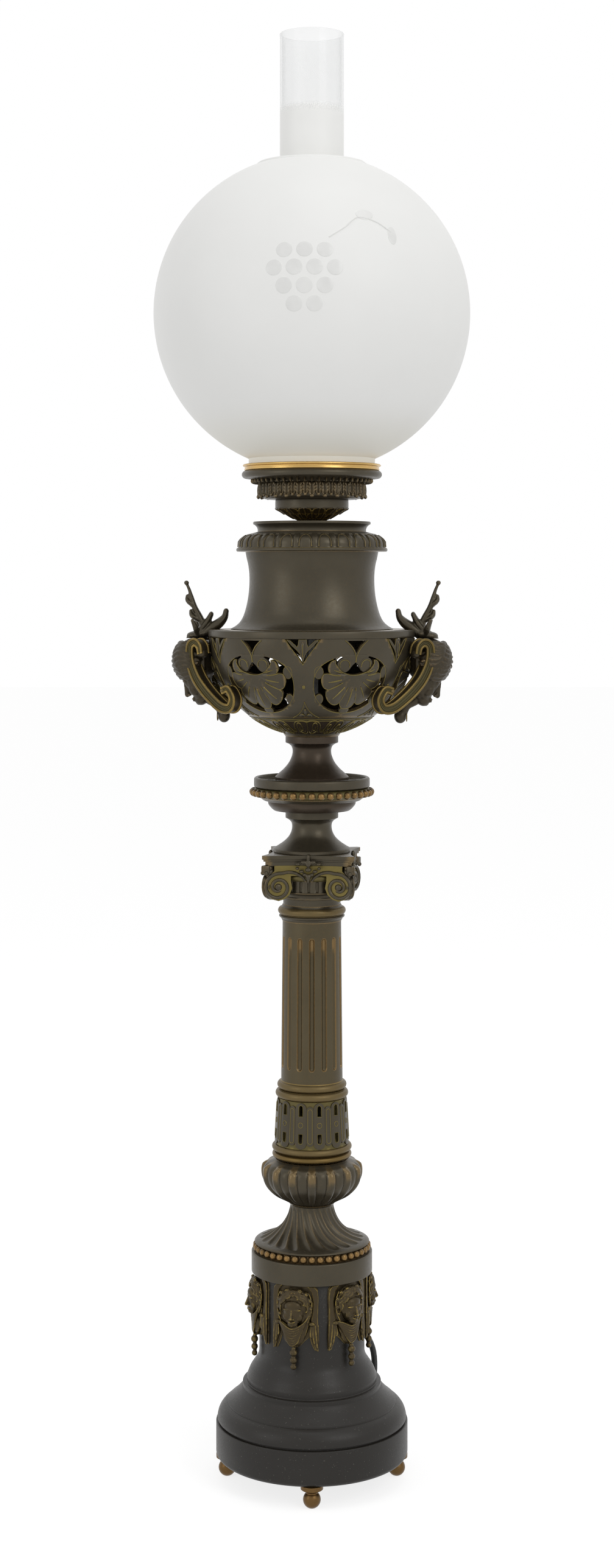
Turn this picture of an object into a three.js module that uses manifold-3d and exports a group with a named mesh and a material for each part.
// A banquet lamp: a pierced urn on a fluted column and a stepped black base, with an electric light
// in a glass chimney inside a frosted ball shade. Millimetres, +Z up, origin on the floor at the axis.
// Azimuths are degrees from the front (-Y), growing towards the right (+X).
import * as THREE from "three";
import { mergeVertices } from "three/addons/utils/BufferGeometryUtils.js";
import Module from "manifold-3d";

const wasm = await Module();
wasm.setup();

// Threaded tube that clamps the stack, and the fits of all pieces
const rodRadius = 5;
const rodWall = 1.2;
const rodClearance = 0.4;
const seatGap = 0.3;
const overrun = 2;
const weldDistance = 0.0001;
const nutRadius = 9;
const nutHeight = 5;
const washerRadius = 13;
const washerThickness = 1.5;
const rodEnd = 1.5;
const boreRadius = rodRadius + rodClearance;

// How far the ornaments are turned: the base, and everything above the column
const baseTurn = -18;
const bodyTurn = -5;

// Facets round a turned piece
const wideSides = 16;
const narrowSides = 12;
const smallSides = 8;

// Feet
const footCount = 4;
const footBallRadius = 6.9;
const footFlatDepth = 0.4;
const footFlangeRadius = 8.8;
const footFlangeThickness = 3.4;
const footHeight = 18;
const footInset = 8.8;
const footScrewRadius = 2.4;
const footScrewLength = 9;

// Plinth drum and its cover
const plinthRadius = 76.8;
const plinthHeight = 28;
const plinthEdge = 4;
const plinthWall = 15.5;
const plinthWeb = 5;
const coverThickness = 2.4;

// Stepped moulding and waist
const mouldingRadius = 75.6;
const mouldingHeight = 58;
const mouldingWall = 8;
const waistRadius = 42.2;
const waistHeight = 61;
const waistWall = 5;
const waistLid = 5;

// Band, bead ring and spiral foot
const bandRadius = 48.4;
const bandHeight = 17;
const bandWall = 4;
const baseBeadRadius = 3.2;
const baseBeadInset = 0.9;
const spiralRadius = 46;
const spiralNeckRadius = 17.2;
const spiralHeight = 32;
const spiralFluteCount = 22;
const spiralFluteDepth = 1.3;
const spiralTwist = 62;
const spiralRimWidth = 2;

// Melon knop
const knopRadius = 40.9;
const knopNeckRadius = 17.5;
const knopHeight = 36.5;
const knopLobeCount = 15;
const knopLobeDepth = 2.2;

// Pierced collar and the rings round it
const brassRingRadius = 31.8;
const brassRingHeight = 4.8;
const lowerRingRadius = 32;
const lowerRingHeight = 6;
const collarFootRadius = 30;
const collarTopRadius = 28;
const collarHeight = 37.2;
const collarWall = 2.6;
const collarPanelCount = 12;
const collarSlotWidth = 3.8;
const collarSlotHeight = 8.4;
const middleRingRadius = 29.2;
const middleRingHeight = 6.5;
const upperRingRadius = 27.8;
const upperRingHeight = 7;

// Fluted column and astragal
const columnFootRadius = 24.7;
const columnTopRadius = 23.5;
const columnHeight = 128;
const columnFluteCount = 15;
const columnFluteDepth = 1.6;
const columnFootFillet = 8;
const columnTopFillet = 9;
const astragalRadius = 27.2;
const astragalHeight = 13;
const astragalFillet = 3;
const astragalStep = 0.5;

// Capital
const capitalHeight = 42;
const capitalNeckRadius = 23;
const capitalBellRadius = 28;
const abacusCornerRadius = 51.8;
const abacusCornerCut = 3;
const abacusSideDistance = 31;
const abacusThickness = 8;
const abacusOverhang = 2;
const voluteRadius = 12.4;
const voluteThickness = 6;
const voluteSpacing = 23.7;
const voluteRise = 17;
const voluteLean = 10;

// Spools, under-moulding, bead ring and plate
const spoolWaistRadius = 15.8;
const spoolCollarRadius = 21.2;
const spoolCollarShare = 0.16;
const lowerSpoolRadius = 31;
const lowerSpoolHeight = 33;
const upperSpoolRadius = 29.5;
const upperSpoolHeight = 37;
const underRadius = 35.2;
const underHeight = 8;
const plateRadius = 46.5;
const plateDrumRadius = 43;
const plateHeight = 19;
const plateRecess = 4;
const plateRimWidth = 3;
const plateRimHeight = 8;
const plateBeadRadius = 3.5;

// Urn: bowl, rim plate, neck, neck moulding and cap
const bowlRadius = 82.3;
const bowlDepth = 79.5;
const bowlCurveDepth = 80;
const bowlWall = 2.6;
const bowlFootRadius = 21.5;
const bowlFloor = 4;
const roundelCount = 6;
const roundelWidth = 62;
const roundelHeight = 45;
const roundelDrop = 35;
const rimPlateOverhang = 0.9;
const rimPlateThickness = 6;
const neckFootInset = 17.2;
const neckWaistRadius = 50.3;
const neckHeight = 62.5;
const neckWall = 2.6;
const neckMouldingRadius = 60.7;
const neckMouldingHeight = 16;
const neckMouldingBore = 40;
const neckMouldingFillet = 2.5;
const capRadius = 47.2;
const capWaistRadius = 43.6;
const capHeight = 8;

// Burner: bud, collar, leaf ring, gallery flange and globe ring
const budFootRadius = 7.3;
const budRadius = 28.4;
const budHeight = 10;
const burnerCollarRadius = 29.4;
const burnerCollarHeight = 8;
const leafFootRadius = 30.5;
const leafRadius = 44;
const leafHeight = 13;
const leafCount = 12;
const leafDepth = 1.6;
const flangeRadius = 56.3;
const flangeHeight = 10;
const flangeFloor = 6;
const globeRingHeight = 8;
const globeRingWall = 3;
const globeRingLip = 1.2;
const globeShelf = 1.6;
const globeShelfWidth = 5;

// Globe, chimney and their fits
const globeRadius = 127;
const globeNeckRadius = 50.7;
const globeNeckHeight = 7.8;
const globeOpeningRadius = 39.8;
const globeLipRadius = 2.4;
const globeWall = 3;
const globeClearance = 0.6;
const chimneyRadius = 25.7;
const chimneyWall = 1.8;
const chimneyLength = 330;
const chimneyClearance = 0.6;
const galleryWall = 1.6;
const galleryFloor = 2;
const galleryDepth = 10;

// Switch housing with its key, lampholder and bulb
const housingRadius = 12.5;
const housingHeight = 18;
const housingBoreDepth = 6;
const keyRise = 8;
const keyAzimuth = 30;
const keyShaftRadius = 2.2;
const keyShaftClearance = 0.4;
const keyShaftSocket = 5;
const keyShaftLength = 17;
const keyWingLength = 11;
const keyWingHeight = 13;
const keyWingThickness = 3;
const keyWingOverlap = 2;
const holderRadius = 16.5;
const holderHeight = 38;
const holderFloor = 6;
const bulbBaseRadius = 12.8;
const bulbClearance = 0.5;
const bulbRadius = 15.5;
const bulbLength = 100;
const bulbTopRadius = 9;

// Handles: scroll arms, head with its hair, web, boss, console with a drop bud, and the screw
const handleArmStandoff = 12.7;
const handleArmReach = 49.5;
const handleArmHeight = 51.6;
const handleArmDrop = 3.9;
const handleArmThickness = 7;
const handleArmHalfWidth = 3.6;
const handleArmSpread = 18;
const handleSplay = 38;
const hairWidth = 41;
const hairDepth = 34;
const hairHeight = 31;
const hairStandoff = 14.2;
const hairDrop = 17;
const faceWidth = 27;
const faceDepth = 24;
const faceHeight = 35;
const faceStandoff = 11.7;
const faceDrop = 33.5;
const faceTilt = 10;
const noseSize = 5;
const bridgeWidth = 42;
const bridgeThickness = 5;
const bridgeHeight = 26;
const bridgeDrop = 2.5;
const bossRadius = 6.5;
const bossDrop = 18.5;
const consoleRadius = 4;
const dropBudRadius = 5.2;
const dropBudSetback = 23;
const dropBudDrop = 63.5;
const handleScrewRadius = 2;
const handleScrewHeadRadius = 4;
const handleScrewHead = 3;
const handleScrewGrip = 10;
const handleScrewClearance = 0.4;

// Plumes over the heads
const plumeRise = 44;
const plumeReach = 18;
const plumeStandoff = 1.7;
const plumeStemRadius = 3.2;
const plumeStemThickness = 6;
const plumeLeafWidth = 12;
const plumeLeafThickness = 14;
const plumeTipSize = 5;
const plumeFootWidth = 16;
const plumeFootDepth = 14;
const plumeFootHeight = 7;
const plumePegRadius = 2;
const plumePegLength = 10;

// Base masks
const maskCount = 6;
const maskWidth = 38;
const maskHeight = 52;
const maskThickness = 2.4;
const maskHeadWidth = 17;
const maskHeadHeight = 25;
const maskHeadDepth = 12;
const maskHeadDrop = 20;
const maskHairWidth = 27;
const maskHairHeight = 31;
const maskHairDepth = 7;
const maskSwagRadius = 2.4;
const maskBeadWidth = 5.8;
const maskBeadStandoff = 1.5;

// Cord, strain relief, coil, tie and plug
const leadRadius = 1.6;
const leadHoleClearance = 1;
const leadBend = 8;
const leadOffset = 24;
const exitAzimuth = 150;
const exitDrop = 70;
const reliefSeatRadius = 44;
const reliefInnerRadius = 36;
const reliefBarrelRadius = 4.2;
const reliefClearance = 0.3;
const reliefFlangeRadius = 5.5;
const reliefFlangeThickness = 2.5;
const reliefTailWall = 0.6;
const reliefTailLength = 19.5;
const cordDiameter = 5;
const cordSides = 8;
const coilCentreY = 127;
const coilMiddleRadius = 30;
const coilGap = 0.6;
const coilSteps = 14;
const coilTurns = 7 + 6 / coilSteps;
const coilSides = 6;
const coilEndLength = 25;
const tieThickness = 0.9;
const tieWidth = 7;
const plugWidth = 24;
const plugThickness = 18;
const plugLength = 28;
const plugTailLength = 10;
const pinLength = 15;
const pinWidth = 6.3;
const pinThickness = 1.5;
const pinSpacing = 12.7;
const plugRoot = 2;

// Levels of the stack, each piece standing on the one below
const plinthBottom = footHeight;
const mouldingBottom = plinthBottom + plinthHeight;
const waistBottom = mouldingBottom + mouldingHeight;
const bandBottom = waistBottom + waistHeight;
const baseBeadBottom = bandBottom + bandHeight;
const spiralBottom = baseBeadBottom + 2 * baseBeadRadius;
const knopBottom = spiralBottom + spiralHeight;
const brassRingBottom = knopBottom + knopHeight;
const lowerRingBottom = brassRingBottom + brassRingHeight;
const collarBottom = lowerRingBottom + lowerRingHeight;
const middleRingBottom = collarBottom + collarHeight;
const upperRingBottom = middleRingBottom + middleRingHeight;
const columnBottom = upperRingBottom + upperRingHeight;
const astragalBottom = columnBottom + columnHeight;
const capitalBottom = astragalBottom + astragalHeight;
const lowerSpoolBottom = capitalBottom + capitalHeight;
const underBottom = lowerSpoolBottom + lowerSpoolHeight;
const plateBottom = underBottom + underHeight;
const upperSpoolBottom = plateBottom + plateHeight - plateRecess;
const bowlBottom = upperSpoolBottom + upperSpoolHeight;
const bowlTop = bowlBottom + bowlDepth;
const neckBottom = bowlTop + rimPlateThickness;
const neckMouldingBottom = neckBottom + neckHeight;
const capBottom = neckMouldingBottom + neckMouldingHeight;
const budBottom = capBottom + capHeight;
const burnerCollarBottom = budBottom + budHeight;
const leafBottom = burnerCollarBottom + burnerCollarHeight;
const flangeBottom = leafBottom + leafHeight;
const globeRingBottom = flangeBottom + flangeHeight;
const globeBottom = globeRingBottom + globeShelf;
const upperNutBottom = flangeBottom + flangeFloor;
const housingBottom = upperNutBottom + nutHeight;
const galleryBottom = housingBottom + housingHeight;
const holderBottom = galleryBottom + galleryFloor;

const lowerNutBottom = mouldingBottom - plinthWeb - washerThickness - nutHeight;
const plumeBottom = bowlTop - hairDrop + hairHeight / 2 + seatGap;

// Distances from the axis that follow the bowl
const rimPlateRadius = bowlRadius + rimPlateOverhang;
const neckFootRadius = bowlRadius - neckFootInset;
const handleArmRadius = bowlRadius + handleArmStandoff;
const hairRadius = bowlRadius + hairStandoff;
const faceRadius = bowlRadius + faceStandoff;
const dropBudDistance = faceRadius - dropBudSetback;
const plumeFootRadius = bowlRadius + plumeStandoff;

// Finishes
const blackFinish = finish(0x353430, 0.45, 0.1);
const bronzeFinish = finish(0x4c483c, 0.5, 0.6);
const brownFinish = finish(0x40362b, 0.45, 0.6);
const copperFinish = finish(0x7a6248, 0.4, 0.8);
const brassFinish = finish(0xa08a45, 0.35, 0.9);
const goldFinish = finish(0xc9a052, 0.3, 0.95);
const steelFinish = finish(0x9a9a9a, 0.4, 0.9);
const frostFinish = finish(0xe5e5e3, 0.6, 0);
const glassFinish = finish(0xf3f3f3, 0.1, 0);
const cordFinish = finish(0x1c1b19, 0.6, 0);

const lamp = new THREE.Group();

function finish(colour, roughness, metalness) {
  return new THREE.MeshStandardMaterial({ color: colour, roughness, metalness });
}

function radians(angle) {
  return (angle * Math.PI) / 180;
}

// Position-only geometry with shared vertices, no empty faces and every face pointing out.
function closed(geometry) {
  const bare = geometry.clone();
  bare.deleteAttribute("normal");
  bare.deleteAttribute("uv");
  const merged = mergeVertices(bare, weldDistance);
  const place = merged.getAttribute("position");
  const point = (index) => new THREE.Vector3().fromBufferAttribute(place, index);
  const faces = [];
  let volume = 0;
  for (let i = 0; i < merged.index.count; i += 3) {
    const face = [merged.index.getX(i), merged.index.getX(i + 1), merged.index.getX(i + 2)];
    if (new Set(face).size === 3) {
      faces.push(face);
      volume += point(face[0]).dot(point(face[1]).cross(point(face[2])));
    }
  }
  merged.setIndex(faces.flatMap((face) => (volume < 0 ? face.reverse() : face)));
  return merged;
}

function solidOf(geometry) {
  const body = closed(geometry);
  return new wasm.Manifold(
    new wasm.Mesh({
      numProp: 3,
      vertProperties: new Float32Array(body.getAttribute("position").array),
      triVerts: new Uint32Array(body.index.array),
    }),
  );
}

function geometryOf(solid) {
  const mesh = solid.getMesh();
  const geometry = new THREE.BufferGeometry();
  geometry.setAttribute("position", new THREE.BufferAttribute(mesh.vertProperties, 3));
  geometry.setIndex(new THREE.BufferAttribute(mesh.triVerts, 1));
  return geometry;
}

function joined(first, ...others) {
  return geometryOf(others.reduce((whole, next) => whole.add(solidOf(next)), solidOf(first)));
}

function cut(body, ...tools) {
  return geometryOf(tools.reduce((left, tool) => left.subtract(solidOf(tool)), solidOf(body)));
}

function piece(name, geometry, material, azimuth = 0) {
  const body = closed(geometry);
  body.computeVertexNormals();
  const mesh = new THREE.Mesh(body, material);
  mesh.name = name;
  mesh.rotation.z = radians(azimuth);
  lamp.add(mesh);
}

// Points of an arc in the radius and height plane.
function arc(radius, height, size, from, to, steps) {
  return Array.from({ length: steps + 1 }, (_, i) => {
    const angle = radians(from + ((to - from) * i) / steps);
    return [radius + size * Math.cos(angle), height + size * Math.sin(angle)];
  });
}

// Shares [across, up] laid between two radii and two heights.
function spread(shares, inner, outer, bottom, top) {
  return shares.map(([across, up]) => [inner + (outer - inner) * across, bottom + (top - bottom) * up]);
}

// A solid spun about Z from a profile that starts and ends on the axis.
function turned(profile, sides) {
  const points = profile.map(([radius, height]) => new THREE.Vector2(radius, height));
  return closed(new THREE.LatheGeometry(points, sides).rotateX(Math.PI / 2));
}

// A ring spun about Z from a profile that closes on itself.
function turnedRing(profile, sides) {
  return turned([...profile, profile[0]], sides);
}

// A turned piece with the hole of the threaded tube through it.
function bored(profile, sides) {
  const bottom = profile[0][1];
  const top = profile[profile.length - 1][1];
  return turnedRing([...profile, [boreRadius, top], [boreRadius, bottom]], sides);
}

function reshaped(geometry, move) {
  const place = geometry.getAttribute("position");
  for (let i = 0; i < place.count; i += 1) {
    const [x, y, z] = move(place.getX(i), place.getY(i), place.getZ(i));
    place.setXYZ(i, x, y, z);
  }
  return geometry;
}

// Takes depth(azimuth, height, radius) off the radius of every vertex.
function carved(geometry, depth) {
  return reshaped(geometry, (x, y, z) => {
    const radius = Math.hypot(x, y);
    const factor = radius > 0 ? 1 - depth(Math.atan2(x, -y), z, radius) / radius : 1;
    return [x * factor, y * factor, z];
  });
}

// Bends a flat ornament (x along, -y out) round a drum about Z.
function wrapped(geometry, drumRadius) {
  return reshaped(geometry, (x, y, z) => {
    const angle = x / drumRadius;
    const radius = drumRadius - y;
    return [radius * Math.sin(angle), -radius * Math.cos(angle), z];
  });
}

function box(width, depth, height) {
  return new THREE.BoxGeometry(width, depth, height);
}

// A cylinder along -Y from one distance to another.
function outwardRod(radius, from, to, height, sides) {
  const rod = new THREE.CylinderGeometry(radius, radius, to - from, sides);
  return rod.translate(0, -(from + to) / 2, height);
}

function ellipsoid(width, depth, height, around, down) {
  const sphere = new THREE.SphereGeometry(1, around, down).rotateX(Math.PI / 2);
  return sphere.scale(width / 2, depth / 2, height / 2);
}

// A round tube with a ring of the given sides at each point of a smooth route.
function tubeAlong(points, radius, sides) {
  const section = new THREE.Shape(
    Array.from({ length: sides }, (_, i) => {
      const angle = ((i + 0.5) * 2 * Math.PI) / sides;
      return new THREE.Vector2(radius * Math.cos(angle), radius * Math.sin(angle));
    }),
  );
  const stops = points.map((point) => new THREE.Vector3(...point));
  const route = new THREE.CatmullRomCurve3(stops, false, "centripetal");
  route.getUtoTmapping = (share) => share;
  return new THREE.ExtrudeGeometry(section, { steps: stops.length - 1, extrudePath: route });
}

// An outline that keeps half a width on both sides of a line of [across, up] points.
function bandOutline(line, halfWidthAt) {
  const sideOf = (sign) =>
    line.map(([across, up], i) => {
      const before = line[Math.max(0, i - 1)];
      const after = line[Math.min(line.length - 1, i + 1)];
      const length = Math.hypot(after[0] - before[0], after[1] - before[1]);
      const half = (sign * halfWidthAt(i)) / length;
      return new THREE.Vector2(across - (after[1] - before[1]) * half, up + (after[0] - before[0]) * half);
    });
  return new THREE.Shape([...sideOf(1), ...sideOf(-1).reverse()]);
}

function plate(outline, thickness) {
  return new THREE.ExtrudeGeometry(outline, { depth: thickness, bevelEnabled: false, curveSegments: 3 });
}

function footBall() {
  const centre = footBallRadius - footFlatDepth;
  const start = -Math.asin(centre / footBallRadius) * (180 / Math.PI);
  const ball = arc(0, centre, footBallRadius, start, 48, 4);
  return turned(
    [
      [0, 0],
      ...ball,
      [footFlangeRadius, footHeight - footFlangeThickness],
      [footFlangeRadius, footHeight],
      [footScrewRadius, footHeight],
      [footScrewRadius, footHeight + footScrewLength],
      [0, footHeight + footScrewLength],
    ],
    smallSides,
  );
}

function addFeet() {
  const distance = plinthRadius - footInset;
  ["front", "right", "back", "left"].forEach((name, i) => {
    const place = new THREE.Matrix4().makeRotationZ((i * 2 * Math.PI) / footCount);
    const foot = footBall().translate(0, -distance, 0).applyMatrix4(place);
    piece("foot_" + name, foot, brassFinish);
  });
}

function plinthDrum() {
  const inner = plinthRadius - plinthWall;
  const edge = arc(plinthRadius - plinthEdge, plinthBottom + plinthEdge, plinthEdge, -90, 0, 3);
  const drum = turnedRing(
    [
      [inner, plinthBottom],
      ...edge,
      [plinthRadius, mouldingBottom],
      [boreRadius, mouldingBottom],
      [boreRadius, mouldingBottom - plinthWeb],
      [inner, mouldingBottom - plinthWeb],
    ],
    wideSides,
  );
  const hole = new THREE.CylinderGeometry(
    footScrewRadius + seatGap,
    footScrewRadius + seatGap,
    2 * (footScrewLength + seatGap),
    smallSides,
  ).rotateX(Math.PI / 2);
  const holes = Array.from({ length: footCount }, (_, i) =>
    hole.clone().translate(0, footInset - plinthRadius, plinthBottom).rotateZ((i * 2 * Math.PI) / footCount),
  );
  const leadHoleRadius = leadRadius + leadHoleClearance;
  const leadHole = new THREE.CylinderGeometry(leadHoleRadius, leadHoleRadius, 2 * plinthWeb, smallSides)
    .rotateX(Math.PI / 2)
    .translate(0, -leadOffset, mouldingBottom - plinthWeb / 2)
    .rotateZ(radians(exitAzimuth));
  return cut(drum, ...holes, leadHole);
}

function plinthCover() {
  const radius = plinthRadius - plinthWall - seatGap;
  return turned(
    [
      [0, plinthBottom],
      [radius, plinthBottom],
      [radius, plinthBottom + coverThickness],
      [0, plinthBottom + coverThickness],
    ],
    wideSides,
  );
}

// Ovolo, cavetto, fillets and sweep of the black moulding, from the waist radius (0) to its widest (1).
const mouldingShares = [
  [0.99, 0],
  [1, 0.07],
  [0.93, 0.17],
  [0.765, 0.26],
  [0.6, 0.355],
  [0.395, 0.476],
  [0.395, 0.534],
  [0.29, 0.559],
  [0.29, 0.63],
  [0.21, 0.724],
  [0.06, 0.89],
  [0, 1],
];
const mouldingHollowShares = [
  [1, 0],
  [0.9, 0.18],
  [0.4, 0.42],
  [0, 0.82],
];

function baseMoulding() {
  const outer = spread(mouldingShares, waistRadius, mouldingRadius, mouldingBottom, waistBottom);
  const hollow = spread(
    mouldingHollowShares,
    waistRadius - waistWall,
    mouldingRadius - mouldingWall,
    mouldingBottom,
    waistBottom,
  );
  const body = turnedRing(
    [
      ...outer,
      [waistRadius, bandBottom],
      [boreRadius, bandBottom],
      [boreRadius, bandBottom - waistLid],
      [waistRadius - waistWall, bandBottom - waistLid],
      ...hollow.reverse(),
    ],
    wideSides,
  );
  const innerEnd = reliefInnerRadius - overrun;
  const through = reliefHole(innerEnd, mouldingRadius, reliefBarrelRadius + reliefClearance);
  const seat = reliefHole(reliefSeatRadius, mouldingRadius, reliefFlangeRadius + reliefClearance);
  return cut(body, through, seat);
}

function reliefHole(from, to, radius) {
  return outwardRod(radius, from, to, bandBottom - exitDrop, narrowSides).rotateZ(radians(exitAzimuth));
}

// A grid slab behind the mask with a scalloped lower edge.
function maskPlate() {
  const slab = new THREE.BoxGeometry(1, 1, 1, 4, 1, 1);
  const scallopShare = 0.12;
  const bottom = bandBottom - seatGap - maskHeight;
  return reshaped(slab, (x, y, z) => {
    const up = z + 0.5;
    const scallop = (scallopShare * (1 - Math.cos(4 * Math.PI * x))) / 2;
    return [
      x * maskWidth,
      (y - 0.5) * maskThickness - seatGap,
      bottom + (up + (1 - up) * scallop) * maskHeight,
    ];
  });
}

// The pendant's three beads and the necks between them: half width (1 is a bead's) and drop in bead widths.
const pendantShares = [
  [0, 2.75],
  [0.8, 2.32],
  [0.35, 1.8],
  [1, 1.2],
  [0.35, 0.62],
  [1, 0.05],
  [0, -0.5],
];

function maskPendant() {
  const bottom = bandBottom - seatGap - maskHeight;
  const profile = pendantShares.map(([out, drop]) => [(out * maskBeadWidth) / 2, -drop * maskBeadWidth]);
  return turned(profile, 5).translate(0, -seatGap - maskBeadStandoff - maskBeadWidth / 2, bottom);
}

// An egg whose back half is flattened into the plate that carries it.
function reliefEgg(width, depth, height, around, down) {
  const egg = ellipsoid(width, depth, height, around, down);
  return reshaped(egg, (x, y, z) => [x, y > 0 ? (y * maskThickness) / depth : y, z]);
}

function baseMask() {
  const headCentre = bandBottom - seatGap - maskHeadDrop;
  const front = -seatGap - maskThickness;
  const head = reliefEgg(maskHeadWidth, maskHeadDepth, maskHeadHeight, 6, 5).translate(0, front, headCentre);
  const hair = reliefEgg(maskHairWidth, maskHairDepth, maskHairHeight, 6, 3)
    .translate(0, front, headCentre + (maskHairHeight - maskHeadHeight) / 2);
  const swagHeight = headCentre - maskHeadHeight / 3;
  const swagReach = maskHairWidth / 2;
  const swag = tubeAlong(
    [
      [-swagReach, front, swagHeight],
      [-swagReach / 2, front - maskSwagRadius / 2, swagHeight - swagReach * 0.6],
      [swagReach / 2, front - maskSwagRadius / 2, swagHeight - swagReach * 0.6],
      [swagReach, front, swagHeight],
    ],
    maskSwagRadius,
    4,
  );
  return joined(
    wrapped(maskPlate(), waistRadius),
    wrapped(head, waistRadius),
    wrapped(hair, waistRadius),
    wrapped(closed(swag), waistRadius),
    wrapped(maskPendant(), waistRadius),
  );
}

function baseBand() {
  const bevel = bandWall / 4;
  const inner = bandRadius - bandWall;
  return bored(
    [
      [inner, bandBottom],
      [bandRadius - bevel, bandBottom],
      [bandRadius, bandBottom + bevel],
      [bandRadius, baseBeadBottom - bevel],
      [bandRadius - bevel, baseBeadBottom],
    ],
    wideSides,
  );
}

// A ring of round section lying on the piece below, with a flat under it.
function beadRing(outerRadius, beadRadius, bottom) {
  const centre = outerRadius - beadRadius;
  const section = arc(centre, bottom + beadRadius, beadRadius, -60, 240, 6);
  return turnedRing(section, wideSides);
}

// Flare of the spiral foot, from its neck (0) to its rim (1).
const spiralShares = [
  [1, 0],
  [1, 0.05],
  [0.6, 0.18],
  [0.32, 0.35],
  [0.12, 0.58],
  [0, 0.9],
  [0.07, 1],
];

function spiralFoot() {
  const flare = spread(spiralShares, spiralNeckRadius, spiralRadius, spiralBottom, knopBottom);
  const sides = 2 * spiralFluteCount;
  const plainRadius = spiralRadius - spiralRimWidth;
  const foot = carved(bored(flare, sides), (azimuth, height, radius) => {
    const isFlute = Math.round((azimuth * sides) / (2 * Math.PI) + sides) % 2;
    const fades = radius > plainRadius || radius < spiralNeckRadius ? 0 : 1;
    return spiralFluteDepth * isFlute * fades;
  });
  return reshaped(foot, (x, y, z) => {
    const isBore = Math.hypot(x, y) < (boreRadius + spiralNeckRadius) / 2;
    const turn = isBore ? 0 : (radians(spiralTwist) * (z - spiralBottom)) / spiralHeight;
    return [x * Math.cos(turn) - y * Math.sin(turn), x * Math.sin(turn) + y * Math.cos(turn), z];
  });
}

// Half profile of the melon knop, from its neck (0) to its belly (1).
const knopShares = [
  [0.04, 0],
  [0.3, 0.06],
  [0.75, 0.24],
  [1, 0.53],
  [0.95, 0.75],
  [0.75, 0.88],
  [0.56, 1],
];

function melonKnop() {
  const belly = spread(knopShares, knopNeckRadius, knopRadius, knopBottom, brassRingBottom);
  const sides = 2 * knopLobeCount;
  return carved(bored(belly, sides), (azimuth, height, radius) => {
    const isGroove = Math.round((azimuth * sides) / (2 * Math.PI) + sides) % 2;
    const fades = Math.max(0, (radius - knopNeckRadius) / (knopRadius - knopNeckRadius));
    return knopLobeDepth * isGroove * fades;
  });
}

function roundedRing(radius, bottom, top) {
  const edge = (top - bottom) / 4;
  return bored(
    [
      [radius - edge, bottom],
      [radius, bottom + edge],
      [radius, top - edge],
      [radius - edge, top],
    ],
    wideSides,
  );
}

function upperRings() {
  const step = upperRingBottom - middleRingBottom;
  return bored(
    [
      [middleRingRadius, middleRingBottom],
      [middleRingRadius, upperRingBottom - step / 4],
      [upperRingRadius, upperRingBottom],
      [upperRingRadius, columnBottom - step / 3],
      [columnFootRadius, columnBottom],
    ],
    wideSides,
  );
}

function piercedCollar() {
  const fillet = collarWall;
  const wall = turnedRing(
    [
      [collarFootRadius, collarBottom],
      [collarFootRadius, collarBottom + fillet],
      [collarFootRadius - fillet / 4, collarBottom + fillet],
      [collarTopRadius, middleRingBottom],
      [collarTopRadius - collarWall, middleRingBottom],
      [collarFootRadius - collarWall, collarBottom],
    ],
    2 * collarPanelCount,
  );
  const slotRiseShares = [0.25, 0.82];
  const slots = slotRiseShares.flatMap((share) =>
    Array.from({ length: collarPanelCount }, (_, i) =>
      box(collarSlotWidth, 2 * collarFootRadius - 2 * collarWall, collarSlotHeight)
        .translate(0, -collarFootRadius, collarBottom + share * collarHeight)
        .rotateZ(((i + 0.25) * 2 * Math.PI) / collarPanelCount),
    ),
  );
  return cut(wall, ...slots);
}

function columnShaft() {
  const sides = 2 * columnFluteCount;
  const fillet = 2 * columnFluteDepth;
  const radiusAt = (height) =>
    columnFootRadius + ((columnTopRadius - columnFootRadius) * (height - columnBottom)) / columnHeight;
  const levels = [
    columnBottom,
    columnBottom + columnFootFillet,
    columnBottom + columnFootFillet + fillet,
    astragalBottom - columnTopFillet - fillet,
    astragalBottom - columnTopFillet,
    astragalBottom,
  ];
  const shaft = bored(
    levels.map((height) => [radiusAt(height), height]),
    sides,
  );
  return carved(shaft, (azimuth, height, radius) => {
    const isGroove = Math.round((azimuth * sides) / (2 * Math.PI) + sides) % 2;
    const inFlute = height > levels[1] + fillet / 2 && height < levels[4] - fillet / 2;
    return isGroove && inFlute && radius > 2 * boreRadius ? columnFluteDepth : 0;
  });
}

function astragal() {
  const bead = (astragalHeight - 2 * astragalFillet) / 2;
  const middle = (astragalBottom + capitalBottom) / 2;
  return bored(
    [
      [columnTopRadius + astragalStep, astragalBottom],
      [columnTopRadius + astragalStep, astragalBottom + astragalFillet],
      ...arc(astragalRadius - bead, middle, bead, -60, 60, 4),
      [columnTopRadius + astragalStep, capitalBottom - astragalFillet],
      [columnTopRadius, capitalBottom],
    ],
    narrowSides,
  );
}

// A square with hollow sides and cut corners, standing on a height.
function hollowSquare(cornerRadius, sideDistance, bottom, top) {
  const outline = new THREE.Shape();
  const corner = cornerRadius / Math.SQRT2;
  const near = corner - abacusCornerCut;
  const dip = 2 * sideDistance - corner;
  outline.moveTo(-near, -corner);
  outline.quadraticCurveTo(0, -dip, near, -corner);
  outline.lineTo(corner, -near);
  outline.quadraticCurveTo(dip, 0, corner, near);
  outline.lineTo(near, corner);
  outline.quadraticCurveTo(0, dip, -near, corner);
  outline.lineTo(-corner, near);
  outline.quadraticCurveTo(-dip, 0, -corner, -near);
  return plate(outline, top - bottom).translate(0, 0, bottom);
}

function volute(side) {
  const disc = new THREE.CylinderGeometry(voluteRadius, voluteRadius, voluteThickness, 10);
  return disc
    .rotateZ(radians(side * voluteLean))
    .translate(side * voluteSpacing, -abacusSideDistance, capitalBottom + voluteRise);
}

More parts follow.
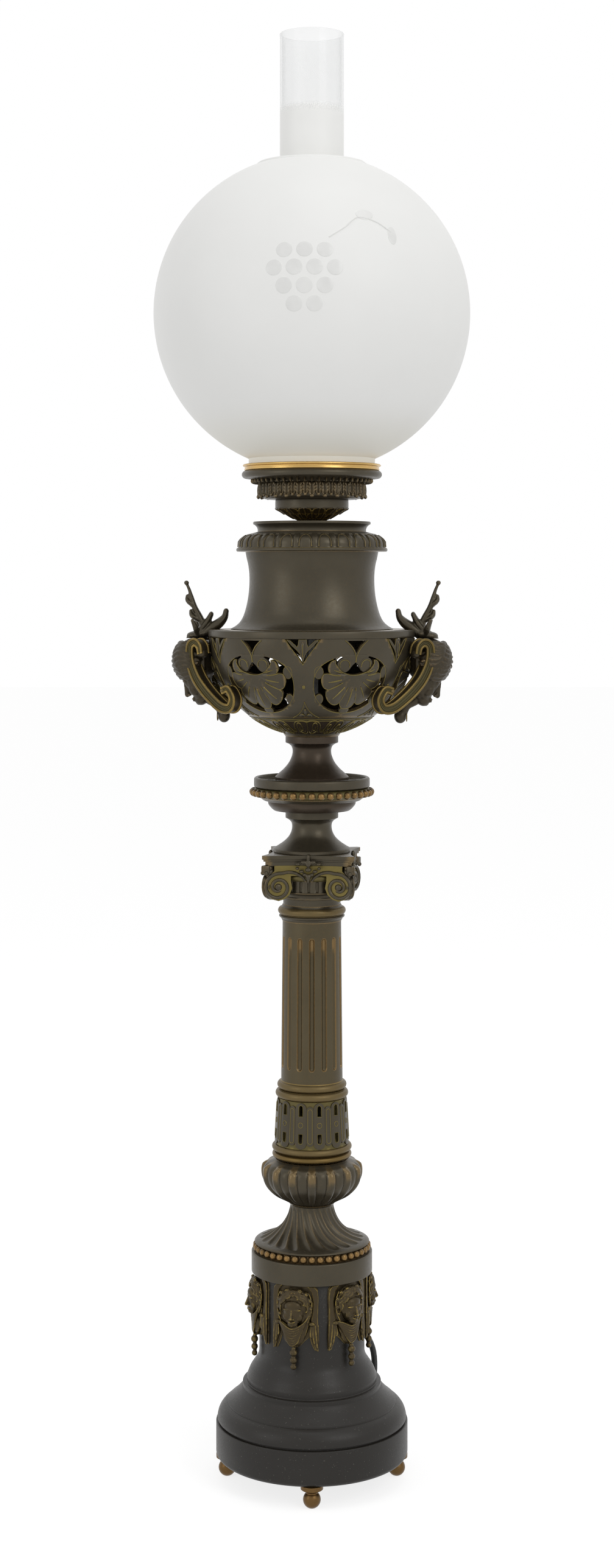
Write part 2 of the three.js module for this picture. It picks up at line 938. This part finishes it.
// Bell of the capital, from its neck (0) to its widest (1).
const bellShares = [
  [0, 0],
  [0.2, 0.19],
  [0.8, 0.43],
  [1, 0.5],
  [1, 0.67],
  [0.8, 0.8],
];

function capital() {
  const bell = bored(
    spread(bellShares, capitalNeckRadius, capitalBellRadius, capitalBottom, lowerSpoolBottom),
    narrowSides,
  );
  const abacusBottom = lowerSpoolBottom - abacusThickness;
  const middle = lowerSpoolBottom - abacusThickness / 2;
  const scrollReach = abacusCornerRadius - voluteThickness;
  const scroll = hollowSquare(
    scrollReach,
    abacusSideDistance - abacusOverhang,
    abacusBottom - abacusThickness,
    abacusBottom,
  );
  const abacus = hollowSquare(abacusCornerRadius, abacusSideDistance, abacusBottom, lowerSpoolBottom);
  const sides = Array.from({ length: 4 }, (_, i) => (i * Math.PI) / 2);
  const volutes = sides.flatMap((angle) => [volute(-1).rotateZ(angle), volute(1).rotateZ(angle)]);
  const flowers = sides.map((angle) =>
    box(abacusThickness, abacusThickness, abacusThickness / 2)
      .translate(0, -abacusSideDistance + abacusThickness / 4, middle)
      .rotateZ(angle),
  );
  const whole = joined(bell, scroll, abacus, ...volutes, ...flowers);
  const bore = new THREE.CylinderGeometry(boreRadius, boreRadius, 2 * capitalHeight, narrowSides);
  return cut(whole, bore.rotateX(Math.PI / 2).translate(0, 0, middle));
}

// Flare of the spools, from the waist (0) to the foot (1).
const spoolShares = [
  [1, 0],
  [1, 0.11],
  [0.8, 0.17],
  [0.42, 0.28],
  [0.16, 0.41],
  [0, 0.62],
  [0.05, 0.74],
];

function spool(footRadius, bottom, top) {
  const collar = spoolCollarShare * (top - bottom);
  return bored(
    [
      ...spread(spoolShares, spoolWaistRadius, footRadius, bottom, top),
      [spoolCollarRadius, top - collar],
      [spoolCollarRadius, top],
    ],
    narrowSides,
  );
}

// A bead ring round the plate's drum, under its rim.
function plateBeadRing() {
  const inner = plateDrumRadius + seatGap;
  const top = plateBottom + plateHeight - plateRimHeight - seatGap;
  const bottom = top - 2 * plateBeadRadius;
  const outer = arc(inner + plateBeadRadius, bottom + plateBeadRadius, plateBeadRadius, -75, 75, 4);
  return turnedRing([[inner, bottom], ...outer, [inner, top]], wideSides);
}

function plateWithRim() {
  const top = plateBottom + plateHeight;
  const floor = top - plateRecess;
  const edge = plateRimWidth / 3;
  return bored(
    [
      [spoolCollarRadius, underBottom],
      [underRadius - underHeight / 2, underBottom + underHeight / 4],
      [underRadius, plateBottom - underHeight / 3],
      [underRadius, plateBottom],
      [plateDrumRadius, plateBottom + seatGap],
      [plateDrumRadius, top - plateRimHeight],
      [plateRadius, top - plateRimHeight + edge],
      [plateRadius, top - edge],
      [plateRadius - edge, top],
      [plateRadius - plateRimWidth, top],
      [plateRadius - plateRimWidth - edge, floor],
    ],
    wideSides,
  );
}

function bowlRadiusAt(drop, wall) {
  const share = drop / (bowlCurveDepth - wall);
  return (bowlRadius - wall) * Math.sqrt(1 - share * share);
}

// Left crescent of a pierced roundel, from its centre (0) to its rim (1).
const crescentShares = [
  [-0.55, 0.85],
  [-0.95, 0.3],
  [-0.88, -0.4],
  [-0.2, -0.97],
  [-0.5, -0.55],
  [-0.7, -0.05],
  [-0.35, 0.62],
];

function roundelCutter(side, azimuth) {
  const points = crescentShares.map(
    ([across, up]) => new THREE.Vector2((side * across * roundelWidth) / 2, (up * roundelHeight) / 2),
  );
  return plate(new THREE.Shape(points), bowlRadius)
    .rotateX(Math.PI / 2)
    .translate(0, -bowlRadius / 2, bowlTop - roundelDrop)
    .rotateZ(azimuth);
}

function urnBowl() {
  const toDegrees = 180 / Math.PI;
  const footAngle = Math.asin(bowlFootRadius / bowlRadius) * toDegrees;
  const innerDepth = bowlCurveDepth - bowlWall;
  const innerAngle = Math.acos((bowlDepth - bowlFloor) / innerDepth) * toDegrees;
  const dish = (radius, depth, from, to, steps) =>
    arc(0, 0, 1, from - 90, to - 90, steps).map(([across, up]) => [radius * across, bowlTop + depth * up]);
  const shell = turnedRing(
    [
      [boreRadius, bowlBottom],
      [bowlFootRadius, bowlBottom],
      ...dish(bowlRadius, bowlCurveDepth, footAngle, 90, 6),
      ...dish(bowlRadius - bowlWall, innerDepth, innerAngle, 90, 4).reverse(),
      [boreRadius, bowlBottom + bowlFloor],
    ],
    wideSides,
  );
  const cutters = Array.from({ length: roundelCount }, (_, i) => {
    const azimuth = ((i + 0.5) * 2 * Math.PI) / roundelCount;
    return [roundelCutter(1, azimuth), roundelCutter(-1, azimuth)];
  }).flat();
  const screwHoles = [-1, 1].map((side) => handleScrewHole().rotateZ((side * Math.PI) / 2));
  return cut(shell, ...cutters, ...screwHoles);
}

function rimPlate() {
  const edge = rimPlateThickness / 4;
  return turnedRing(
    [
      [neckFootRadius - 2 * neckWall, bowlTop],
      [rimPlateRadius - edge, bowlTop],
      [rimPlateRadius, bowlTop + edge],
      [rimPlateRadius, neckBottom - edge],
      [rimPlateRadius - edge, neckBottom],
      [neckFootRadius - 2 * neckWall, neckBottom],
    ],
    wideSides,
  );
}

// Neck of the urn, from its waist (0) to its foot (1).
const neckShares = [
  [1, 0],
  [0.53, 0.09],
  [0.21, 0.26],
  [0.03, 0.48],
  [0, 0.72],
  [0.14, 0.9],
  [0.21, 1],
];

function urnNeck() {
  const top = neckMouldingBottom;
  const outer = spread(neckShares, neckWaistRadius, neckFootRadius, neckBottom, top);
  const inner = spread(neckShares, neckWaistRadius - neckWall, neckFootRadius - neckWall, neckBottom, top);
  return turnedRing([...outer, ...inner.reverse()], wideSides);
}

function neckMoulding() {
  const fillet = neckMouldingFillet;
  const bottom = neckMouldingBottom;
  return turnedRing(
    [
      [neckMouldingBore, bottom],
      [neckMouldingRadius, bottom],
      [neckMouldingRadius, bottom + fillet],
      ...arc(capWaistRadius, bottom + fillet, neckMouldingRadius - fillet / 2 - capWaistRadius, 0, 50, 3).map(
        ([radius, height]) => [radius, Math.min(height, capBottom - fillet / 2)],
      ),
      [capWaistRadius + fillet, capBottom - fillet / 4],
      [capWaistRadius, capBottom],
      [neckMouldingBore, capBottom],
    ],
    wideSides,
  );
}

function urnCap() {
  const step = capHeight / 4;
  return bored(
    [
      [capWaistRadius, capBottom],
      [capWaistRadius, capBottom + step],
      [capRadius, budBottom - 1.5 * step],
      [capRadius, budBottom],
    ],
    wideSides,
  );
}

function burnerBud() {
  return bored(
    [
      [budFootRadius, budBottom],
      [(budFootRadius + budRadius) / 2, budBottom + budHeight / 3],
      [budRadius, burnerCollarBottom],
      [burnerCollarRadius, burnerCollarBottom],
      [burnerCollarRadius, leafBottom - burnerCollarHeight / 4],
      [budRadius, leafBottom],
    ],
    narrowSides,
  );
}

// Flare of the leaf ring, from its foot (0) to the tips (1).
const leafShares = [
  [0, 0],
  [0.12, 0.25],
  [0.5, 0.6],
  [0.92, 0.8],
  [1, 0.92],
  [0.96, 1],
];

function leafRing() {
  const sides = 2 * leafCount;
  const flare = spread(leafShares, leafFootRadius, leafRadius, leafBottom, flangeBottom);
  return carved(bored(flare, sides), (azimuth, height, radius) => {
    const isGap = Math.round((azimuth * sides) / (2 * Math.PI) + sides) % 2;
    return radius > leafFootRadius + leafDepth ? leafDepth * isGap : 0;
  });
}

function galleryFlange() {
  const roll = (flangeHeight - leafDepth) / 3;
  const middle = globeRingBottom - roll;
  const inner = globeNeckRadius - globeShelfWidth;
  return bored(
    [
      [leafRadius - leafDepth - seatGap, flangeBottom],
      [leafRadius, flangeBottom + leafDepth],
      [flangeRadius - roll, middle - roll],
      [flangeRadius, middle],
      [flangeRadius - roll, globeRingBottom],
      [inner, globeRingBottom],
      [inner, upperNutBottom],
    ],
    wideSides,
  );
}

function globeRing() {
  const bore = globeNeckRadius + globeClearance;
  const outer = bore + globeRingWall;
  const top = globeRingBottom + globeRingHeight;
  return turnedRing(
    [
      [globeNeckRadius - globeShelfWidth, globeRingBottom],
      [outer, globeRingBottom],
      [outer, top - 2 * globeRingLip],
      [outer + globeRingLip, top - globeRingLip],
      [outer, top],
      [bore, top],
      [bore, globeBottom],
      [globeNeckRadius - globeShelfWidth, globeBottom],
    ],
    wideSides,
  );
}

function globe() {
  const bottom = globeBottom + seatGap;
  const toDegrees = 180 / Math.PI;
  const meeting = Math.sqrt(globeRadius ** 2 - globeNeckRadius ** 2);
  const centre = bottom + globeNeckHeight + meeting;
  const innerRadius = globeRadius - globeWall;
  const innerNeck = globeNeckRadius - globeWall;
  const lipCentre = globeOpeningRadius + globeLipRadius;
  const lipHeight = centre + Math.sqrt(globeRadius ** 2 - lipCentre ** 2) - globeLipRadius / 2;
  const angleOf = (reach, radius) => Math.acos(reach / radius) * toDegrees;
  return turnedRing(
    [
      [innerNeck, bottom],
      [globeNeckRadius, bottom],
      ...arc(
        0,
        centre,
        globeRadius,
        -angleOf(globeNeckRadius, globeRadius),
        angleOf(lipCentre + globeLipRadius, globeRadius),
        8,
      ),
      ...arc(lipCentre, lipHeight, globeLipRadius, 30, 180, 3),
      ...arc(
        0,
        centre,
        innerRadius,
        angleOf(globeOpeningRadius, innerRadius),
        -angleOf(innerNeck, innerRadius),
        6,
      ),
    ],
    wideSides,
  );
}

function chimney() {
  const bottom = galleryBottom + galleryFloor + seatGap;
  const inner = chimneyRadius - chimneyWall;
  const top = bottom + chimneyLength;
  return turnedRing(
    [
      [inner, bottom],
      [chimneyRadius, bottom],
      [chimneyRadius, top],
      [inner, top],
    ],
    wideSides,
  );
}

function chimneyGallery() {
  const inner = chimneyRadius + chimneyClearance;
  const floor = galleryBottom + galleryFloor;
  const outer = inner + galleryWall;
  return turnedRing(
    [
      [boreRadius, galleryBottom],
      [outer, galleryBottom],
      [outer, floor + galleryDepth],
      [inner, floor + galleryDepth],
      [inner, floor],
      [boreRadius, floor],
    ],
    wideSides,
  );
}

// A profile spun about the line that runs outwards to the front at a height.
function outwardTurned(profile, sides, height) {
  return turned(profile, sides).rotateX(Math.PI / 2).translate(0, 0, height);
}

function switchHousing() {
  const body = turned(
    [
      [0, housingBottom + housingBoreDepth],
      [boreRadius, housingBottom + housingBoreDepth],
      [boreRadius, housingBottom],
      [housingRadius, housingBottom],
      [housingRadius, galleryBottom],
      [0, galleryBottom],
    ],
    narrowSides,
  );
  const socket = outwardTurned(
    [
      [0, housingRadius - keyShaftSocket],
      [keyShaftRadius + keyShaftClearance, housingRadius - keyShaftSocket],
      [keyShaftRadius + keyShaftClearance, housingRadius + overrun],
      [0, housingRadius + overrun],
    ],
    narrowSides,
    housingBottom + keyRise,
  );
  return cut(body, socket.rotateZ(radians(keyAzimuth)));
}

function switchKey() {
  const start = housingRadius - keyShaftSocket + keyShaftClearance;
  const height = housingBottom + keyRise;
  const shaft = outwardTurned(
    [
      [0, start],
      [keyShaftRadius, start],
      [keyShaftRadius, start + keyShaftLength],
      [0, start + keyShaftLength],
    ],
    narrowSides,
    height,
  );
  const wing = box(keyWingThickness, keyWingLength, keyWingHeight);
  const wingCentre = start + keyShaftLength + keyWingLength / 2 - keyWingOverlap;
  return joined(shaft, wing.translate(0, -wingCentre, height)).rotateZ(radians(keyAzimuth));
}

function lampHolder() {
  const floor = holderBottom + holderFloor;
  const top = holderBottom + holderHeight;
  const bore = bulbBaseRadius + bulbClearance;
  return turned(
    [
      [0, holderBottom],
      [holderRadius, holderBottom],
      [holderRadius, top],
      [bore, top],
      [bore, floor],
      [0, floor],
    ],
    narrowSides,
  );
}

// Bulb from its contact (0) to its tip (1), across its base (0) and its glass (1).
function bulb() {
  const bottom = holderBottom + holderFloor + seatGap;
  const top = bottom + bulbLength;
  const baseTop = holderBottom + holderHeight + seatGap;
  const shoulder = bulbRadius - bulbBaseRadius;
  return turned(
    [
      [0, bottom],
      [bulbBaseRadius / 2, bottom],
      [bulbBaseRadius, bottom + bulbBaseRadius / 4],
      [bulbBaseRadius, baseTop],
      [bulbRadius, baseTop + shoulder],
      [bulbRadius, top - bulbRadius],
      [bulbTopRadius, top - bulbRadius / 4],
      [0, top],
    ],
    narrowSides,
  );
}

function threadedTube() {
  const inner = rodRadius - rodWall;
  const bottom = lowerNutBottom - rodEnd;
  const top = housingBottom + housingBoreDepth - rodEnd;
  return turnedRing(
    [
      [inner, bottom],
      [rodRadius, bottom],
      [rodRadius, top],
      [inner, top],
    ],
    narrowSides,
  );
}

function hexNut(bottom) {
  const body = new THREE.CylinderGeometry(nutRadius, nutRadius, nutHeight, 6);
  const bore = new THREE.CylinderGeometry(boreRadius, boreRadius, 2 * nutHeight, narrowSides);
  return cut(body, bore).rotateX(Math.PI / 2).translate(0, 0, bottom + nutHeight / 2);
}

function washer() {
  const bottom = lowerNutBottom + nutHeight;
  return bored(
    [
      [washerRadius, bottom],
      [washerRadius, bottom + washerThickness],
    ],
    narrowSides,
  );
}

// Line of a scroll arm in its own upright plane: along it, away from the mask, and up.
const armShares = [
  [0.277, 0.824],
  [0.244, 0.94],
  [0.141, 1],
  [0.04, 0.93],
  [0.045, 0.7],
  [0.167, 0.465],
  [0.333, 0.291],
  [0.525, 0.145],
  [0.743, 0.019],
  [0.93, 0.01],
  [1, 0.15],
  [0.9, 0.295],
  [0.77, 0.271],
];
const armWidthShares = [0.55, 0.7, 0.8, 0.85, 0.95, 1, 1, 1, 1, 0.95, 0.8, 0.8, 1.1];

function handleArm(side) {
  const bottom = bowlTop - handleArmDrop - handleArmHeight;
  const line = armShares.map(([along, up]) => [along * handleArmReach, bottom + up * handleArmHeight]);
  const strip = plate(
    bandOutline(line, (i) => armWidthShares[i] * handleArmHalfWidth),
    handleArmThickness,
  );
  const arm = strip
    .rotateX(Math.PI / 2)
    .translate(0, handleArmThickness / 2, 0)
    .rotateZ(radians(90 - handleSplay))
    .translate(handleArmSpread, -handleArmRadius, 0);
  return side < 0 ? arm.scale(-1, 1, 1) : arm;
}

// A tilted egg at a distance from the axis and a drop under the bowl's top.
function handleEgg(width, depth, height, radius, drop, tilt) {
  return ellipsoid(width, depth, height, 8, 5)
    .rotateX(radians(-tilt))
    .translate(0, -radius, bowlTop - drop);
}

function handleHead() {
  const hair = handleEgg(hairWidth, hairDepth, hairHeight, hairRadius, hairDrop, 0);
  const face = handleEgg(faceWidth, faceDepth, faceHeight, faceRadius, faceDrop, faceTilt);
  const nose = new THREE.ConeGeometry(noseSize / 2, noseSize, 4)
    .rotateX(Math.PI / 2)
    .translate(0, -faceRadius - faceDepth / 2, bowlTop - faceDrop);
  const web = box(bridgeWidth, bridgeThickness, bridgeHeight);
  const webCentre = rimPlateRadius + seatGap + bridgeThickness / 2;
  return joined(hair, face, nose, web.translate(0, -webCentre, bowlTop - bridgeDrop - bridgeHeight / 2));
}

function handleConsole() {
  const line = [
    [0, -faceRadius + faceDepth / 4, bowlTop - faceDrop + faceHeight / 4],
    [0, -faceRadius + faceDepth / 2, bowlTop - faceDrop - faceHeight / 4],
    [0, -dropBudDistance - dropBudRadius, bowlTop - dropBudDrop + 2 * dropBudRadius],
    [0, -dropBudDistance, bowlTop - dropBudDrop],
  ];
  const size = 2 * dropBudRadius;
  const bud = ellipsoid(size, size, size * 1.2, 6, 4).translate(0, -dropBudDistance, bowlTop - dropBudDrop);
  return joined(tubeAlong(line, consoleRadius, 6), bud);
}

function bossEnd() {
  return bowlRadiusAt(bossDrop - bossRadius, 0) + seatGap;
}

function handleScrewHole() {
  const radius = handleScrewRadius + handleScrewClearance;
  const end = bossEnd() + handleScrewGrip + overrun;
  return outwardRod(radius, bowlFootRadius, end, bowlTop - bossDrop, smallSides);
}

function handle() {
  const keepOut = new THREE.CylinderGeometry(
    rimPlateRadius + seatGap,
    rimPlateRadius + seatGap,
    2 * bowlDepth,
    wideSides,
  );
  const head = cut(handleHead(), keepOut.rotateX(Math.PI / 2).translate(0, 0, bowlTop));
  const bossReach = rimPlateRadius + bridgeThickness;
  const boss = outwardRod(bossRadius, bossEnd(), bossReach, bowlTop - bossDrop, 6);
  const whole = joined(head, boss, handleArm(1), handleArm(-1), handleConsole());
  return cut(whole, handleScrewHole(), plumePeg(plumePegRadius + seatGap, plumePegLength + seatGap));
}

function handleScrew() {
  const wallRadius = bowlRadiusAt(bossDrop + handleScrewHeadRadius, bowlWall);
  const seat = wallRadius * Math.cos(Math.PI / wideSides) - seatGap;
  return outwardTurned(
    [
      [0, seat - handleScrewHead],
      [handleScrewHeadRadius, seat - handleScrewHead],
      [handleScrewHeadRadius, seat],
      [handleScrewRadius, seat],
      [handleScrewRadius, bossEnd() + handleScrewGrip],
      [0, bossEnd() + handleScrewGrip],
    ],
    smallSides,
    bowlTop - bossDrop,
  );
}

// Outlines of the plume's leaves, out from the axis (1 is its reach) and up (1 is its rise).
const plumeStemShares = [
  [0.24, 0.04],
  [0.22, 0.25],
  [0.36, 0.45],
  [0.66, 0.66],
  [0.86, 0.83],
  [0.98, 0.97],
];
const plumeBackShares = [
  [0.05, 0.29],
  [-0.3, 0.32],
  [-0.62, 0.37],
  [-0.86, 0.47],
];
const plumeRootShares = [
  [0.78, 0.05],
  [0.5, 0.14],
  [0.2, 0.27],
  [0, 0.38],
];

function plumeLeaf(shares, halfWidth, thickness) {
  const line = shares.map(([out, up]) => [out * plumeReach, up * plumeRise]);
  return plate(
    bandOutline(line, (i) => halfWidth * (1 - (0.5 * i) / line.length)),
    thickness,
  ).translate(0, 0, -thickness / 2);
}

function plumePeg(radius, length) {
  return new THREE.CylinderGeometry(radius, radius, 2 * length, smallSides)
    .rotateX(Math.PI / 2)
    .translate(0, -hairRadius, plumeBottom);
}

function plume() {
  const leaves = joined(
    plumeLeaf(plumeStemShares, plumeStemRadius, plumeStemThickness),
    plumeLeaf(plumeBackShares, plumeLeafWidth / 3, plumeLeafThickness),
    plumeLeaf(plumeRootShares, plumeLeafWidth / 4, plumeLeafThickness),
    ellipsoid(plumeTipSize, plumeTipSize, plumeTipSize, 6, 4).translate(plumeReach, plumeRise, 0),
  );
  const upright = leaves
    .rotateX(Math.PI / 2)
    .rotateZ(-Math.PI / 2)
    .translate(0, -plumeFootRadius, plumeBottom);
  const foot = box(plumeFootWidth, plumeFootDepth, plumeFootHeight).translate(
    0,
    -hairRadius,
    plumeBottom + plumeFootHeight / 2,
  );
  const below = box(2 * plumeReach, 4 * plumeReach, plumeRise).translate(
    0,
    -plumeFootRadius,
    plumeBottom - plumeRise / 2,
  );
  return joined(cut(joined(upright, foot), below), plumePeg(plumePegRadius, plumePegLength));
}

function lead() {
  const top = housingBottom + housingBoreDepth - rodEnd;
  const bend = leadBend;
  const sag = bend * (1 - Math.SQRT1_2);
  const tubeEnd = lowerNutBottom - rodEnd;
  const exit = bandBottom - exitDrop;
  const route = [
    [0, 0, top],
    [0, 0, (top + tubeEnd) / 2],
    [0, 0, tubeEnd],
    [0, -sag, tubeEnd - bend + sag],
    [0, -bend, tubeEnd - bend],
    [0, -leadOffset + bend, tubeEnd - bend],
    [0, -leadOffset + sag, tubeEnd - bend + sag],
    [0, -leadOffset, tubeEnd],
    [0, -leadOffset, exit - bend],
    [0, -leadOffset - sag, exit - sag],
    [0, -leadOffset - bend, exit],
    [0, -reliefInnerRadius + seatGap, exit],
  ];
  return tubeAlong(route, leadRadius, 6).rotateZ(radians(exitAzimuth));
}

function strainRelief() {
  const flangeEnd = reliefSeatRadius + reliefFlangeThickness;
  const tailEnd = flangeEnd + reliefTailLength;
  const tailEndRadius = cordDiameter / 2 + reliefTailWall;
  return outwardTurned(
    [
      [0, reliefInnerRadius],
      [reliefBarrelRadius, reliefInnerRadius],
      [reliefBarrelRadius, reliefSeatRadius + seatGap],
      [reliefFlangeRadius, reliefSeatRadius + seatGap],
      [reliefFlangeRadius, flangeEnd],
      [reliefBarrelRadius, flangeEnd],
      [tailEndRadius, tailEnd],
      [0, tailEnd],
    ],
    narrowSides,
    bandBottom - exitDrop,
  ).rotateZ(radians(exitAzimuth));
}

// Start of the cord, a gap past the tail of its strain relief, and a distance further out.
function cordStart(further) {
  const radius = reliefSeatRadius + reliefFlangeThickness + reliefTailLength + seatGap + further;
  const angle = radians(exitAzimuth);
  return [radius * Math.sin(angle), -radius * Math.cos(angle), bandBottom - exitDrop];
}

const coilPitch = cordDiameter + coilGap;
const coilSpan = (coilPitch * coilTurns) / 2;
const coilOuterRadius = coilMiddleRadius + coilSpan / 2;
const coilInnerRadius = coilMiddleRadius - coilSpan / 2;
const coilLowerHeight = tieThickness + seatGap + cordDiameter / 2;
const coilUpperHeight = coilLowerHeight + coilPitch;

// Free cord from the strain relief down to the floor behind the base and on to the coil.
function cord() {
  const route = [
    cordStart(0),
    cordStart(cordDiameter),
    [41.5, 70, 92.5],
    [47.5, 76.5, 85],
    [51.5, 81, 73],
    [52.5, 84.5, 58],
    [51, 87.5, 43],
    [48.5, 91, 29],
    [45.5, 96, 16],
    [43, 103, 7.5],
    [41, 111, 4.4],
    [coilOuterRadius, coilCentreY - 2 * cordDiameter, coilLowerHeight],
    [coilOuterRadius, coilCentreY - cordDiameter - seatGap, coilLowerHeight],
  ];
  return tubeAlong(route, cordDiameter / 2, cordSides);
}

function coilPoint(turn) {
  const half = coilTurns / 2;
  const radius = coilInnerRadius + coilPitch * Math.abs(turn - half);
  const climb = Math.min(1, Math.max(0, 2 * (turn - half) + 0.5));
  const angle = 2 * Math.PI * turn;
  const height = coilLowerHeight + coilPitch * climb * climb * (3 - 2 * climb);
  return new THREE.Vector3(radius * Math.cos(angle), coilCentreY + radius * Math.sin(angle), height);
}

function coilHeading(turn) {
  const angle = 2 * Math.PI * turn;
  return new THREE.Vector3(-Math.sin(angle), Math.cos(angle), 0);
}

function coilCentres() {
  const steps = Math.round(coilTurns * coilSteps);
  const turns = Array.from({ length: steps + 1 }, (_, i) => (i * coilTurns) / steps);
  const first = coilPoint(0).addScaledVector(coilHeading(0), -cordDiameter);
  const last = coilPoint(coilTurns).addScaledVector(coilHeading(coilTurns), coilEndLength);
  return [first, ...turns.map(coilPoint), last];
}

function coilLeastGap(centres) {
  const apart = coilSteps / 2;
  let least = Infinity;
  centres.forEach((here, i) => {
    centres.slice(i + apart).forEach((there) => {
      least = Math.min(least, here.distanceTo(there) - cordDiameter);
    });
  });
  return least;
}

// One unbroken tube joined ring by ring, each ring square to the way between its neighbours.
function cordCoil() {
  const centres = coilCentres();
  console.log("least gap of the coil to itself:", coilLeastGap(centres).toFixed(2));
  const up = new THREE.Vector3(0, 0, 1);
  const points = [];
  centres.forEach((centre, i) => {
    const before = centres[Math.max(0, i - 1)];
    const after = centres[Math.min(centres.length - 1, i + 1)];
    const across = after.clone().sub(before).cross(up).normalize();
    for (let side = 0; side < coilSides; side += 1) {
      const angle = (2 * Math.PI * side) / coilSides;
      points.push(
        centre
          .clone()
          .addScaledVector(across, (cordDiameter / 2) * Math.cos(angle))
          .addScaledVector(up, (cordDiameter / 2) * Math.sin(angle)),
      );
    }
  });
  const faces = [];
  for (let ring = 0; ring < centres.length - 1; ring += 1) {
    for (let side = 0; side < coilSides; side += 1) {
      const here = ring * coilSides + side;
      const next = ring * coilSides + ((side + 1) % coilSides);
      faces.push(here, next, next + coilSides, here, next + coilSides, here + coilSides);
    }
  }
  const end = (centres.length - 1) * coilSides;
  for (let side = 1; side < coilSides - 1; side += 1) {
    faces.push(0, side + 1, side, end, end + side, end + side + 1);
  }
  return new THREE.BufferGeometry().setFromPoints(points).setIndex(faces);
}

function cordTie() {
  const inner = coilInnerRadius - cordDiameter / 2;
  const outer = coilOuterRadius + cordDiameter / 2;
  const bottom = tieThickness;
  const top = coilUpperHeight + cordDiameter / 2 + seatGap;
  const middle = [0, coilCentreY + (inner + outer) / 2, (bottom + top) / 2];
  const band = box(tieWidth, outer - inner + 2 * tieThickness, top - bottom + 2 * tieThickness);
  const opening = box(2 * tieWidth, outer - inner, top - bottom);
  return cut(band, opening).translate(...middle);
}

function plug() {
  const tail = new THREE.CylinderGeometry(cordDiameter, plugThickness / 3, plugTailLength, smallSides);
  const body = box(plugWidth, plugLength, plugThickness);
  const pins = [-1, 1].map((side) =>
    box(pinThickness, pinLength + plugRoot, pinWidth).translate(
      (side * pinSpacing) / 2,
      -plugTailLength - plugLength - (pinLength - plugRoot) / 2,
      0,
    ),
  );
  const whole = joined(
    body.translate(0, -plugTailLength - plugLength / 2, 0),
    tail.translate(0, (-plugTailLength - plugRoot) / 2, 0),
    ...pins,
  );
  const end = coilCentres()[coilCentres().length - 1];
  const heading = coilHeading(coilTurns);
  const start = end.clone().addScaledVector(heading, seatGap - plugRoot / 2);
  const angle = Math.atan2(heading.x, -heading.y);
  return whole.rotateZ(angle).translate(start.x, start.y, start.z);
}

addFeet();
piece("plinth_drum", plinthDrum(), blackFinish);
piece("base_cover", plinthCover(), blackFinish);
piece("base_moulding", baseMoulding(), blackFinish);
for (let i = 0; i < maskCount; i += 1) {
  piece("base_mask_" + (i + 1), baseMask(), brassFinish, baseTurn + (i * 360) / maskCount);
}
piece("base_band", baseBand(), bronzeFinish);
piece("base_bead_ring", beadRing(bandRadius - baseBeadInset, baseBeadRadius, baseBeadBottom), bronzeFinish);
piece("spiral_foot", spiralFoot(), bronzeFinish);
piece("melon_knop", melonKnop(), bronzeFinish);
piece("brass_ring", roundedRing(brassRingRadius, brassRingBottom, lowerRingBottom), brassFinish);
piece("lower_ring", roundedRing(lowerRingRadius, lowerRingBottom, collarBottom), copperFinish);
piece("pierced_collar", piercedCollar(), bronzeFinish, baseTurn - 90 / collarPanelCount);
piece("upper_rings", upperRings(), copperFinish);
piece("column_shaft", columnShaft(), bronzeFinish);
piece("astragal", astragal(), brassFinish);
piece("capital", capital(), bronzeFinish, bodyTurn);
piece("lower_spool", spool(lowerSpoolRadius, lowerSpoolBottom, underBottom), brownFinish);
piece("plate", plateWithRim(), bronzeFinish);
piece("plate_bead_ring", plateBeadRing(), bronzeFinish);
piece("upper_spool", spool(upperSpoolRadius, upperSpoolBottom, bowlBottom), brownFinish);
piece("urn_bowl", urnBowl(), bronzeFinish, bodyTurn);
piece("urn_rim_plate", rimPlate(), bronzeFinish, bodyTurn);
piece("urn_neck", urnNeck(), bronzeFinish, bodyTurn);
piece("neck_moulding", neckMoulding(), bronzeFinish, bodyTurn);
piece("urn_cap", urnCap(), bronzeFinish, bodyTurn);
[["left", -90], ["right", 90]].forEach(([name, azimuth]) => {
  piece("handle_" + name, handle(), bronzeFinish, azimuth + bodyTurn);
  piece("plume_" + name, plume(), bronzeFinish, azimuth + bodyTurn);
  piece("handle_screw_" + name, handleScrew(), steelFinish, azimuth + bodyTurn);
});
piece("burner_bud", burnerBud(), brassFinish);
piece("leaf_ring", leafRing(), bronzeFinish);
piece("gallery_flange", galleryFlange(), bronzeFinish);
piece("globe_ring", globeRing(), goldFinish);
piece("globe", globe(), frostFinish);
piece("chimney", chimney(), glassFinish);
piece("chimney_gallery", chimneyGallery(), brassFinish);
piece("switch_housing", switchHousing(), brassFinish);
piece("switch_key", switchKey(), brassFinish);
piece("lamp_holder", lampHolder(), brassFinish);
piece("bulb", bulb(), frostFinish);
piece("threaded_tube", threadedTube(), steelFinish);
piece("lower_nut", hexNut(lowerNutBottom), steelFinish);
piece("lower_washer", washer(), steelFinish);
piece("upper_nut", hexNut(upperNutBottom), steelFinish);
piece("lead", lead(), cordFinish);
piece("strain_relief", strainRelief(), cordFinish);
piece("cord", cord(), cordFinish);
piece("cord_coil", cordCoil(), cordFinish);
piece("cord_tie", cordTie(), cordFinish);
piece("plug", plug(), cordFinish);

export default lamp;
